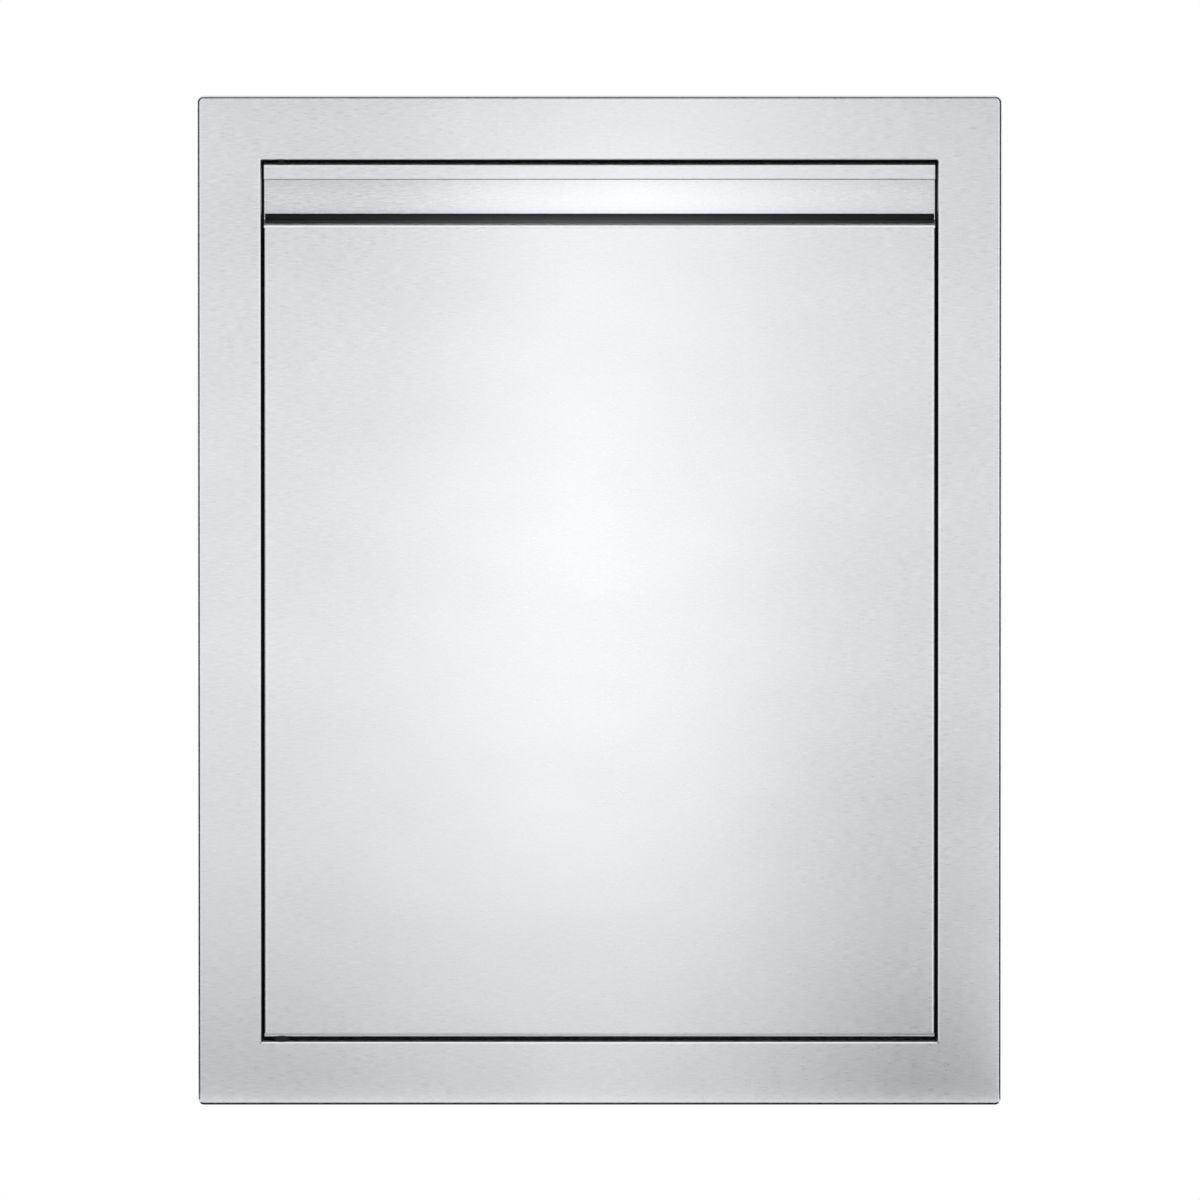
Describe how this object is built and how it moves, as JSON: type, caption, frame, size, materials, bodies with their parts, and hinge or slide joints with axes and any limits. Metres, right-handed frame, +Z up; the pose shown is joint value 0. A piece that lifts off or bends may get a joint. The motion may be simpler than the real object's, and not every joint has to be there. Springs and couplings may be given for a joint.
{
  "type": "island access door",
  "caption": "Flush stainless access door with a full-width folded finger pull, pivot hung in a trim frame that drops into an outdoor kitchen island.",
  "frame": {"origin": "middle of the door opening, on the plane where the trim sits on the island's face", "axes": "+Z up, +Y into the island, +X to the right as seen from the front; the door's front faces -Y"},
  "size_m": [0.5144, 0.0555, 0.6478],
  "materials": {
    "brushed_face": "stainless sheet with a fine level brushed grain",
    "mill_steel": "stainless sheet, dull mill finish",
    "bracket_steel": "stainless plate, tumbled",
    "pin_steel": "turned stainless",
    "black_steel": "stainless with a satin black coat, so that the gap round the door reads as a dark line",
    "spring_steel": "drawn stainless wire",
    "nylon": "black nylon",
    "catch_plastic": "white moulded plastic",
    "rubber": "black rubber",
    "magnet": "ferrite",
    "zinc_plate": "zinc-plated steel"
  },
  "bodies": {
    "frame": {"face_frame": "brushed_face", "head_rail": "mill_steel", "sill_rail": "mill_steel", "left_rail": "mill_steel", "right_rail": "mill_steel", "head_stop": "black_steel", "sill_stop": "black_steel", "left_stop": "black_steel", "right_stop": "black_steel", "upper_left_gusset": "mill_steel", "lower_left_gusset": "mill_steel", "upper_right_gusset": "mill_steel", "lower_right_gusset": "mill_steel", "sill_pivot_plate": "bracket_steel", "lower_pivot_pin": "black_steel", "thrust_washer": "nylon", "spring_bracket": "bracket_steel", "pivot_spring": "spring_steel", "door_bumpers": "rubber", "upper_catch_housing": "catch_plastic", "lower_catch_housing": "catch_plastic", "upper_catch_magnet": "magnet", "lower_catch_magnet": "magnet", "upper_catch_poles": "zinc_plate", "lower_catch_poles": "zinc_plate"},
    "pivot_release": {"upper_pivot_pin": "black_steel", "release_lever": "pin_steel", "spring_clip": "spring_steel"},
    "door": {"door_skin": "brushed_face", "door_liner": "mill_steel", "left_stiffener": "mill_steel", "centre_stiffener": "mill_steel", "right_stiffener": "mill_steel", "upper_bush": "nylon", "lower_bush": "nylon", "upper_pivot_plate": "bracket_steel", "lower_pivot_plate": "bracket_steel", "upper_strike_plate": "zinc_plate", "lower_strike_plate": "zinc_plate"}
  },
  "joints": [
    {"name": "door_hinge", "type": "hinge", "parent": "frame", "child": "door", "pos_m": [-0.2035, -0.0036, 0], "axis": [0, 0, -1], "range_deg": [0, 120]},
    {"name": "upper_pin_slide", "type": "slide", "parent": "frame", "child": "pivot_release", "axis": [0, 0, 1], "range_m": [0, 0.0082], "stiffness_N_per_m": 800, "springref_m": -0.006, "deforming": ["pivot_spring"]}
  ]
}
